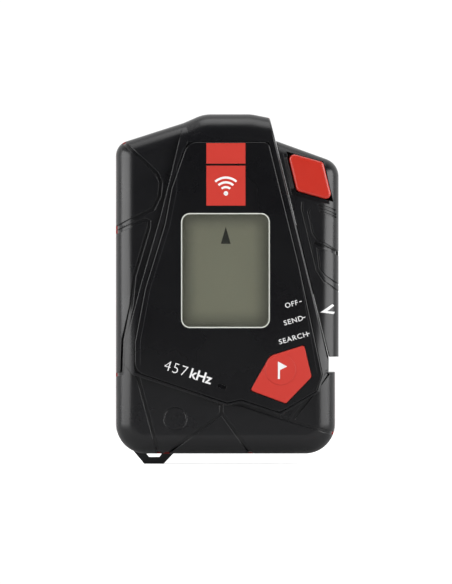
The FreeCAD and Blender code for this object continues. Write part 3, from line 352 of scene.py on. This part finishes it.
def lettering(words, cap_height, middle, turn, width=None, bold=0.0, y=PANEL_Y, spacing=1.0):
    """Printed words: a font's outlines as a thin plate, centred on a point and turned in the panel's plane."""
    curve = bpy.data.curves.new("words", "FONT")
    curve.body = words
    curve.align_x, curve.align_y = "CENTER", "CENTER"
    curve.resolution_u = 4
    curve.space_character = spacing
    curve.offset = bold
    curve.extrude = 0.01
    text = bpy.data.objects.new("words", curve)
    scene.collection.objects.link(text)
    bpy.context.view_layer.update()
    mesh = bpy.data.meshes.new_from_object(text.evaluated_get(bpy.context.evaluated_depsgraph_get()))
    bpy.data.objects.remove(text)
    bpy.data.curves.remove(curve)
    across = [v.co.x for v in mesh.vertices]
    up = [v.co.y for v in mesh.vertices]
    tall = cap_height * MM / (max(up) - min(up))
    wide = width * MM / (max(across) - min(across)) if width else tall
    mesh.transform(Matrix.Translation((-(max(across) + min(across)) / 2, -(max(up) + min(up)) / 2, 0)))
    mesh.transform(Matrix.Diagonal((wide, tall, INK / 0.02, 1)))
    mesh.transform(Matrix.Rotation(math.radians(turn), 4, "Z"))
    mesh.transform(Matrix.Rotation(math.pi / 2, 4, "X"))
    mesh.transform(Matrix.Translation((middle[0] * MM, y - INK / 2, middle[1] * MM)))
    return mesh


LABEL_TURN = 16
LABEL_HEIGHT = 1.66
lean = math.radians(LABEL_TURN)
labels = []
for words, width, middle, tick in (
    ("OFF", 4.4, (21.55, -6.75), (24.55, -5.9)),
    ("SEND", 6.6, (22.2, -12.25), (25.85, -11.2)),
    ("SEARCH", 9.9, (22.15, -18.15), (27.2, -16.65)),
):
    labels.append(lettering(words, LABEL_HEIGHT, middle, LABEL_TURN, width, bold=0.004, spacing=1.12))
    bar = [(tick[0] + x * math.cos(lean) - z * math.sin(lean), tick[1] + x * math.sin(lean) + z * math.cos(lean))
           for x, z in rect(-0.42, -0.14, 0.42, 0.14)]
    labels.append(outline_mesh(bar, PANEL_Y, INK))
NAME_TURN = -18
NAME_HEIGHT = 3.4
labels.append(lettering("457", NAME_HEIGHT, (-17.2, -28.3), NAME_TURN, 7.9, bold=-0.014, spacing=1.15))
labels.append(lettering("kHz", NAME_HEIGHT, (-8.7, -31.0), NAME_TURN, 7.6, bold=0.02))
piece("panel_prints", joined(labels), ink_white, "housing")


def stroke(a, b, width):
    """A straight line of even width between two points, with square ends."""
    run = Vector((b[0] - a[0], b[1] - a[1])).normalized()
    side = Vector((-run.y, run.x)) * width / 2
    return [(a[0] - side.x, a[1] - side.y), (b[0] - side.x, b[1] - side.y), (b[0] + side.x, b[1] + side.y),
            (a[0] + side.x, a[1] + side.y)]


# Painted highlight: pale hairlines along the panel's slanted edges, where the edges catch the light.
edge_highlight_grey = material("film_line", (0.035, 0.035, 0.038), 0.3)
HIGHLIGHT_WIDTH = 0.11
LEFT_EDGE_HIGHLIGHT = [(-14.6, 45.8), (-16.9, 39.2), (-16.9, 31.4), (-19.3, 19.4), (-25.9, -1.9), (-29.2, -19.6),
             (-29.2, -27.2)]
RIGHT_EDGE_HIGHLIGHT = [(13.9, 46.2), (23.9, 6.0), (30.2, -30.0)]
highlight_lines = []
for edge_line in (LEFT_EDGE_HIGHLIGHT, RIGHT_EDGE_HIGHLIGHT):
    for a, b in zip(edge_line, edge_line[1:]):
        highlight_lines.append(outline_mesh(stroke(a, b, HIGHLIGHT_WIDTH), PANEL_Y, INK))
piece("panel_hairlines", joined(highlight_lines), edge_highlight_grey, "housing")

# ------------------------------------------------------------------ display
# A clear acrylic window set in the panel, with a pale ring painted round its edge as a highlight, over a
# reflective liquid-crystal module whose segments show an arrow. The module's colour also glows as painted light, and
# painted shade darkens it towards its edges, where the window's walls shade it.
window_clear = material("window_clear", (1, 1, 1), 0.04, Transmission_Weight=1.0, IOR=1.49)
dress(window_clear, "display_window")
(window_low, window_high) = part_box("display_window")


def ring_mesh(outer, inner, y, thick):
    """A flat frame between two outlines with the same number of points."""
    shape = bmesh.new()
    rows = [[shape.verts.new((x * MM, y, z * MM)) for x, z in line] for line in (outer, inner)]
    count = len(outer)
    for i in range(count):
        j = (i + 1) % count
        shape.faces.new((rows[0][i], rows[0][j], rows[1][j], rows[1][i]))
    return thicken(shape, thick)


def rounded_rect(left, bottom, right, top, radius, steps=10):
    corners = ((right - radius, bottom + radius, -90), (right - radius, top - radius, 0),
               (left + radius, top - radius, 90), (left + radius, bottom + radius, 180))
    return [(x + radius * math.cos(math.radians(a + 90 * i / steps)),
             z + radius * math.sin(math.radians(a + 90 * i / steps)))
            for x, z, a in corners for i in range(steps + 1)]


# Painted highlight: a pale ring round the window's edge stands for the light caught by its bevel.
RIM_HIGHLIGHT_WIDTH = 0.38
CORNER = 3.0
LEFT, RIGHT = window_low.x / MM, window_high.x / MM
FOOT, HEAD = window_low.z / MM, window_high.z / MM
rim_highlight = ring_mesh(rounded_rect(LEFT, FOOT, RIGHT, HEAD, CORNER),
                   rounded_rect(LEFT + RIM_HIGHLIGHT_WIDTH, FOOT + RIM_HIGHLIGHT_WIDTH, RIGHT - RIM_HIGHLIGHT_WIDTH, HEAD - RIM_HIGHLIGHT_WIDTH, CORNER - RIM_HIGHLIGHT_WIDTH),
                   window_low.y, INK)
piece("window_border", rim_highlight, material("border_pale", (0.62, 0.64, 0.58), 0.45), "housing")

lcd_grey = material("lcd_grey", (0.13, 0.135, 0.09), 0.55)
tree = lcd_grey.node_tree
shader = tree.nodes["Principled BSDF"]
spot = step(tree, "ShaderNodeSeparateXYZ", {0: step(tree, "ShaderNodeTexCoord").outputs["Object"]})
lcd_low, lcd_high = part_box("lcd_module")
# Painted shade: the colour darkens towards the module's edges, where the window's walls shade it.
painted_edge_shades = []
for axis, low, high in (("X", lcd_low.x, lcd_high.x), ("Z", lcd_low.z, lcd_high.z)):
    for near, inward in ((low, 1.0), (high, -1.0)):
        gap = sums(tree, "MULTIPLY", sums(tree, "SUBTRACT", spot.outputs[axis], near), inward)
        painted_edge_shades.append(step(tree, "ShaderNodeMapRange", {0: gap, 1: 0.0004, 2: 0.0075, 3: 0.0, 4: 1.0},
                          interpolation_type="SMOOTHSTEP").outputs[0])
painted_edge_shade = sums(tree, "MULTIPLY", sums(tree, "MINIMUM", painted_edge_shades[0], painted_edge_shades[1]), sums(tree, "MINIMUM", painted_edge_shades[2], painted_edge_shades[3]))
painted_glow_and_edge_shade = step(tree, "ShaderNodeMix", {0: painted_edge_shade}, data_type="RGBA")
painted_glow_and_edge_shade.inputs[6].default_value = (0.060, 0.062, 0.046, 1)
painted_glow_and_edge_shade.inputs[7].default_value = (0.120, 0.122, 0.086, 1)
speckle = step(tree, "ShaderNodeTexNoise", {"Vector": step(tree, "ShaderNodeTexCoord").outputs["Object"],
                                            "Scale": 9000.0, "Detail": 2.0})
mottled = step(tree, "ShaderNodeMix", {0: 0.08, 6: painted_glow_and_edge_shade.outputs[2], 7: speckle.outputs["Color"]},
               data_type="RGBA", blend_type="OVERLAY")
# Painted glow: the same colour is also emitted, so the module glows though it is no lamp.
tree.links.new(mottled.outputs[2], shader.inputs["Emission Color"])
tree.links.new(mottled.outputs[2], shader.inputs["Base Color"])
shader.inputs["Emission Strength"].default_value = 0.7
dress(lcd_grey, "lcd_module")
# The arrow segment also carries a faint painted glow.
segment_dark = material("segment_dark", (0.006, 0.007, 0.005), 0.6, Emission_Color=(0.008, 0.009, 0.006, 1),
                        Emission_Strength=0.6)
arrow = outline_mesh([(-2.16, 13.5), (1.16, 13.5), (-0.5, 19.2)], lcd_low.y, INK)
piece("arrow_segment", arrow, segment_dark, "housing")
dress(material("diffuser_white", (0.75, 0.78, 0.74), 0.6, Subsurface_Weight=0.3, Subsurface_Scale=0.001),
      "lcd_backlight")

# ------------------------------------------------------------------ mark key
# A soft-touch red key, moulded in one piece with its plunger: a pentagon with a pressed ring where the thumb
# goes and a printed flag. It sits in the panel's opening and works the switch on the board.
key_red = moulded("key_red", (0.52, 0.028, 0.017), (0.62, 0.07, 0.05), 0.5, grain=0.006, radius=0.00025, edge_wear_and_highlight_level=0.2)
dress(key_red, "mark_key")
MARK_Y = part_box("mark_key")[0][1]
flag = outline_mesh([(17.0, -31.9), (17.7, -31.9), (17.7, -28.9), (20.1, -27.7), (17.0, -26.0)], MARK_Y, INK)
piece("flag_print", flag, ink_white, "mark")

# ------------------------------------------------------------------ status light
# A smoked acrylic pipe pressed into the panel's tilted slot brings out the light of a small lamp behind it.
# It is dark until the lamp is on.
dress(material("pipe_smoked", (0.003, 0.003, 0.0035), 0.12), "light_pipe")
dress(material("lamp_white", (0.85, 0.85, 0.8), 0.4), "status_led")

# ------------------------------------------------------------------ selector
# The slider and its back are moulded in the same black nylon, a touch coarser for grip, with a white
# pointer printed on its rounded edge that faces the three names.
selector_black = moulded("selector_black", (0.0038, 0.0038, 0.0048), (0.024, 0.024, 0.026), 0.29)
dress(selector_black, "selector_slider", "slider_back")


def surface_of(name):
    """The faces of a CAD node, to lay prints on."""
    shape = bmesh.new()
    shape.from_mesh(nodes[name].data)
    tree = BVHTree.FromBMesh(shape)
    shape.free()
    return tree


def laid_on(name, outlines, step_width=0.35, thick=INK):
    """Prints that follow a rounded front: each point moves back until it meets the node."""
    ground = surface_of(name)
    meshes = []
    for outline in outlines:
        across = [x for x, _ in outline]
        cuts = [min(across) + step_width * i for i in range(1, int((max(across) - min(across)) / step_width) + 1)]
        mesh = outline_mesh(outline, 0.0, thick, cuts)
        for vertex in mesh.vertices:
            hit = ground.ray_cast(Vector((vertex.co.x, FRONT_Y - 0.01, vertex.co.z)), Vector((0, 1, 0)))[0]
            vertex.co.y += hit.y
        meshes.append(mesh)
    return joined(meshes)


pointer = laid_on("selector_slider", [
    [(31.2, -9.55), (35.9, -10.1), (36.1, -9.35), (33.6, -9.15), (35.95, -7.3), (35.4, -6.75)]])
piece("pointer_print", pointer, ink_white, "selector")

# Four fine ribs in the well beside the lock key, where the thumb lands before it presses.
def growing(name, **kinds):
    """An empty geometry tree with named inputs; returns it with its inputs and a call that closes it."""
    made = bpy.data.node_groups.new(name, "GeometryNodeTree")
    for label, kind in kinds.items():
        made.interface.new_socket(label.replace("_", " "), in_out="INPUT", socket_type="NodeSocket" + kind)
    made.interface.new_socket("Material", in_out="INPUT", socket_type="NodeSocketMaterial")
    made.interface.new_socket("Geometry", in_out="OUTPUT", socket_type="NodeSocketGeometry")
    source = made.nodes.new("NodeGroupInput").outputs

    def close(shape):
        whole = step(made, "GeometryNodeRealizeInstances", {0: shape})
        coated = step(made, "GeometryNodeSetMaterial", {0: whole.outputs[0], "Material": source["Material"]})
        made.links.new(coated.outputs[0], made.nodes.new("NodeGroupOutput").inputs[0])

    return made, source, close


def grown_mesh(tree, **inputs):
    """The plain mesh that a geometry tree makes from its named inputs."""
    holder = bpy.data.objects.new("holder", bpy.data.meshes.new("holder"))
    scene.collection.objects.link(holder)
    maker = holder.modifiers.new("maker", "NODES")
    maker.node_group = tree
    for socket in tree.interface.items_tree:
        if socket.in_out == "INPUT":
            maker[socket.identifier] = inputs[socket.name.replace(" ", "_")]
    bpy.context.view_layer.update()
    mesh = bpy.data.meshes.new_from_object(holder.evaluated_get(bpy.context.evaluated_depsgraph_get()))
    bpy.data.objects.remove(holder)
    return mesh


ribs, given, close = growing("rib_row", Start="Vector", End="Vector", Step="Vector", Count="Int", Foot="Float",
                             Top="Float", Height="Float")
run = step(ribs, "GeometryNodeCurvePrimitiveLine", {"Start": given["Start"], "End": given["End"]})
profile = step(ribs, "GeometryNodeCurvePrimitiveQuadrilateral",
               {"Bottom Width": given["Foot"], "Top Width": given["Top"], "Height": given["Height"],
                "Offset": 0.0}, mode="TRAPEZOID")
upright = step(ribs, "GeometryNodeSetCurveNormal", {0: run.outputs[0]}, mode="FREE")
upright.inputs["Normal"].default_value = (0, -1, 0)
bar = step(ribs, "GeometryNodeCurveToMesh", {0: upright.outputs[0], 1: profile.outputs[0], "Fill Caps": True})
row = step(ribs, "GeometryNodeMeshLine", {"Count": given["Count"], "Offset": given["Step"]})
copies = step(ribs, "GeometryNodeInstanceOnPoints", {"Points": row.outputs[0], "Instance": bar.outputs[0]})
close(copies.outputs[0])

RIB_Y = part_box("selector_slider")[0][1] + 0.6 * MM
well_ribs = grown_mesh(ribs, Start=(22.55 * MM, RIB_Y, 32.2 * MM), End=(20.0 * MM, RIB_Y, 42.6 * MM),
                       Step=(-0.42 * MM, 0, -0.1 * MM), Count=4, Foot=0.3 * MM, Top=0.12 * MM, Height=0.45 * MM,
                       Material=selector_black)
piece("well_ribs", well_ribs, selector_black, "selector")

# ------------------------------------------------------------------ selector rail
# A T-shaped rail in grey acetal, bonded to the housing's slanted wall. The slider and its back close round it
# and run on it.
dress(moulded("rail_grey", (0.03, 0.03, 0.034), (0.06, 0.06, 0.065), 0.45), "selector_rail")

# ------------------------------------------------------------------ lock key
# A red key moulded in ABS, glossier than the mark key, that stands in the selector's well. It has to be
# pressed before the selector moves.
lock_red = moulded("lock_red", (0.46, 0.02, 0.009), (0.56, 0.07, 0.04), 0.34, grain=0.004, radius=0.0004,
                   edge_wear_and_highlight_level=0.25, Coat_Weight=0.2, Coat_Roughness=0.25)
dress(lock_red, "lock_key")

# The silicone dome behind the key pushes it out, and flattens against the slider's back when the key is pressed; the
# copy here keeps its resting shape.
silicone = moulded("silicone_grey", (0.35, 0.35, 0.36), (0.5, 0.5, 0.5), 0.6, grain=0.004, Subsurface_Weight=0.2,
                   Subsurface_Scale=0.0008)
dome = piece("spring_dome", nodes["lock_spring"].data.copy(), silicone, "selector")
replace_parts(dome, "lock_spring")
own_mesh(dome)
nickel = moulded("nickel", (0.62, 0.61, 0.6), (0.7, 0.7, 0.7), 0.2, grain=0.002, Metallic=1.0)
dress(nickel, "selector_magnet")

# ------------------------------------------------------------------ battery door
# The door is the housing's plastic with a rubber plug seal, a steel coin screw in a brass insert, and a
# steel hinge pin.
dress(shell_black, "battery_door")
dress(moulded("seal_black", (0.012, 0.012, 0.012), (0.03, 0.03, 0.03), 0.7, grain=0.004), "door_seal")
steel = moulded("steel", (0.46, 0.46, 0.47), (0.6, 0.6, 0.6), 0.3, grain=0.003, Metallic=1.0)
dress(steel, "coin_screw", "hinge_pin", "case_screws", "slider_screws")

# Pad prints on the door: which way the cell goes in, and where the coin slot stands when it is shut or open.
DOOR_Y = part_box("battery_door")[1][1]


def seen_from_behind(mesh):
    """Turns a front print round the upright axis, so that it reads from behind."""
    mesh.transform(Matrix.Rotation(math.pi, 4, "Z"))
    return mesh


CELL_ROW = -41.5
SIGN_HALF, SIGN_LINE = 1.4, 0.45
PLUS_X, MINUS_X = 10.6, -11.9
marks = [ring_mesh(rounded_rect(-15, CELL_ROW - 3.6, 13.6, CELL_ROW + 3.6, 0.8, 4),
                   rounded_rect(-14.65, CELL_ROW - 3.25, 13.25, CELL_ROW + 3.25, 0.45, 4), 0, INK),
         outline_mesh(rect(13.6, CELL_ROW - 1.4, 15.0, CELL_ROW + 1.4), 0, INK),
         lettering("AA  1.5 V", 2.6, (-0.7, CELL_ROW), 0, y=0),
         outline_mesh(stroke((PLUS_X - SIGN_HALF, CELL_ROW), (PLUS_X + SIGN_HALF, CELL_ROW), SIGN_LINE), 0, INK),
         outline_mesh(stroke((PLUS_X, CELL_ROW - SIGN_HALF), (PLUS_X, CELL_ROW - 0.24), SIGN_LINE), 0, INK),
         outline_mesh(stroke((PLUS_X, CELL_ROW + 0.24), (PLUS_X, CELL_ROW + SIGN_HALF), SIGN_LINE), 0, INK),
         outline_mesh(stroke((MINUS_X - 1.3, CELL_ROW), (MINUS_X + 1.3, CELL_ROW), SIGN_LINE), 0, INK)]
COIN_ROW = (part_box("coin_screw")[0][2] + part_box("coin_screw")[1][2]) / 2 / MM
for side in (-1, 1):
    marks.append(outline_mesh(stroke((side * 4.5, COIN_ROW), (side * 5.4, COIN_ROW), 0.5), 0, INK))
pale = material("ink_grey", (0.3, 0.3, 0.31), 0.5)
door_marks = seen_from_behind(joined(marks))
door_marks.transform(Matrix.Translation((0, DOOR_Y, 0)))
piece("door_marks", door_marks, pale, "door")
brass = moulded("brass", (0.72, 0.5, 0.2), (0.8, 0.62, 0.34), 0.3, grain=0.003, Metallic=1.0)
dress(brass, "screw_insert")

# ------------------------------------------------------------------ battery
# One alkaline AA cell in a shrink sleeve, dark blue with a pale band and a brown positive end, held between
# two nickel-plated spring-steel contacts. Its two ends are bare metal.
cell_wrap = material("cell_wrap", (0.03, 0.05, 0.09), 0.35, Coat_Weight=0.6, Coat_Roughness=0.1)
tree = cell_wrap.node_tree
shader = tree.nodes["Principled BSDF"]
along = step(tree, "ShaderNodeSeparateXYZ", {0: step(tree, "ShaderNodeTexCoord").outputs["Object"]}).outputs["X"]
cell_low, cell_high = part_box("aa_cell")
reach = step(tree, "ShaderNodeMapRange", {0: along, 1: cell_low.x, 2: cell_high.x}).outputs[0]
sleeve = step(tree, "ShaderNodeValToRGB", {0: reach})
sleeve.color_ramp.interpolation = "CONSTANT"
stops = sleeve.color_ramp.elements
stops[0].position, stops[0].color = 0.0, (0.5, 0.5, 0.5, 1)
stops[1].position, stops[1].color = 0.012, (0.02, 0.045, 0.1, 1)
for at, colour in ((0.74, (0.62, 0.62, 0.6, 1)), (0.77, (0.30, 0.12, 0.02, 1)), (0.966, (0.5, 0.5, 0.5, 1))):
    stop = stops.new(at)
    stop.color = colour
tree.links.new(sleeve.outputs[0], shader.inputs["Base Color"])
ends = sums(tree, "ADD", sums(tree, "LESS_THAN", reach, 0.012), sums(tree, "GREATER_THAN", reach, 0.966), clamp=True)
tree.links.new(ends, shader.inputs["Metallic"])
dress(cell_wrap, "aa_cell")
dress(nickel, "contact_positive", "contact_negative")

# ------------------------------------------------------------------ antennas
# Three crossed receiving coils: two ferrite rods wound with enamelled copper wire and a flat coil etched
# on a thin plate. The wire is wound in one close layer.
ferrite = moulded("ferrite", (0.022, 0.022, 0.024), (0.05, 0.05, 0.05), 0.62, grain=0.02, pits=3000.0)
dress(ferrite, "long_antenna_rod", "short_antenna_rod")
copper = moulded("copper_wire", (0.62, 0.2, 0.08), (0.7, 0.3, 0.15), 0.28, grain=0.002, Metallic=1.0)
coil, given, close = growing("wire_coil", Turns="Float", Radius="Float", Length="Float", Wire="Float")
spiral = step(coil, "GeometryNodeCurveSpiral",
              {"Resolution": 20, "Rotations": given["Turns"], "Start Radius": given["Radius"],
               "End Radius": given["Radius"], "Height": given["Length"]})
strand = step(coil, "GeometryNodeCurvePrimitiveCircle", {"Resolution": 6, "Radius": given["Wire"]})
wire = step(coil, "GeometryNodeCurveToMesh", {0: spiral.outputs[0], 1: strand.outputs[0], "Fill Caps": True})
close(wire.outputs[0])
WIRE = 0.19 * MM
for name, lying in (("long_antenna_winding", False), ("short_antenna_winding", True)):
    low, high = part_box(name)
    length = (high.x - low.x if lying else high.z - low.z) - 2.2 * WIRE
    wound = grown_mesh(coil, Turns=length / (2.04 * WIRE), Radius=(high.y - low.y) / 2 - 1.1 * WIRE, Length=length,
                       Wire=WIRE, Material=copper)
    wound.transform(Matrix.Translation((0, 0, -length / 2)))
    if lying:
        wound.transform(Matrix.Rotation(math.pi / 2, 4, "Y"))
    wound.transform(Matrix.Translation((low + high) / 2))
    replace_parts(piece(name.replace("winding", "wire"), wound, copper, "housing"), name)

etched = material("etched_coil", (0.012, 0.09, 0.035), 0.35)
tree = etched.node_tree
coil_low, coil_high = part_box("flat_antenna")
TRACK_PITCH = 0.7 * MM
spot = step(tree, "ShaderNodeSeparateXYZ", {0: step(tree, "ShaderNodeTexCoord").outputs["Object"]})
aside = sums(tree, "ABSOLUTE", spot.outputs["X"])
above = sums(tree, "ABSOLUTE", sums(tree, "SUBTRACT", spot.outputs["Z"], (coil_low.z + coil_high.z) / 2))
outward = sums(tree, "MAXIMUM", aside, sums(tree, "ADD", above, 0.003))
lap = sums(tree, "FRACT", sums(tree, "DIVIDE", outward, TRACK_PITCH))
track = sums(tree, "GREATER_THAN", lap, 0.42)
coats = step(tree, "ShaderNodeMix", {0: track}, data_type="RGBA")
coats.inputs[6].default_value = (0.012, 0.09, 0.035, 1)
coats.inputs[7].default_value = (0.62, 0.22, 0.08, 1)
tree.links.new(coats.outputs[2], tree.nodes["Principled BSDF"].inputs["Base Color"])
tree.links.new(track, tree.nodes["Principled BSDF"].inputs["Metallic"])
dress(etched, "flat_antenna")

# ------------------------------------------------------------------ board
# A green glass-fibre board. Its tracks show through the mask, and it carries the processor, the sensors that
# read the selector's magnet, the mark key's switch, two rows of small parts and, wired to it, a piezo disc.
board_green = material("board_green", (0.012, 0.09, 0.035), 0.35, Coat_Weight=0.4, Coat_Roughness=0.15)
tree = board_green.node_tree
spot = step(tree, "ShaderNodeSeparateXYZ", {0: step(tree, "ShaderNodeTexCoord").outputs["Object"]})
plan = step(tree, "ShaderNodeCombineXYZ", {0: spot.outputs["X"], 1: spot.outputs["Z"]})
tracks = step(tree, "ShaderNodeTexBrick",
              {"Vector": plan.outputs[0], "Color1": (0.010, 0.075, 0.030, 1), "Color2": (0.014, 0.095, 0.036, 1),
               "Mortar": (0.035, 0.17, 0.055, 1), "Scale": 260.0, "Mortar Size": 0.035, "Brick Width": 1.3,
               "Row Height": 0.34})
tree.links.new(tracks.outputs["Color"], tree.nodes["Principled BSDF"].inputs["Base Color"])
dress(board_green, "circuit_board")
chip_black = moulded("chip_black", (0.012, 0.012, 0.013), (0.05, 0.05, 0.05), 0.5, grain=0.008)
dress(chip_black, "processor_chip", "position_sensors", "mark_switch")
BOARD_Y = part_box("circuit_board")[0][1]
PART = 0.5 * MM
ceramic = moulded("ceramic_parts", (0.16, 0.10, 0.06), (0.4, 0.38, 0.36), 0.4, grain=0.002)
rows = [grown_mesh(ribs, Start=(-15 * MM, BOARD_Y - PART / 2, z * MM), End=(-14 * MM, BOARD_Y - PART / 2, z * MM),
                   Step=(1.9 * MM, 0, 0), Count=13, Foot=PART, Top=PART, Height=PART, Material=ceramic)
        for z in (-17.2, -18.9)]
piece("board_parts", joined(rows), ceramic, "housing")
dress(brass, "sounder_disc")
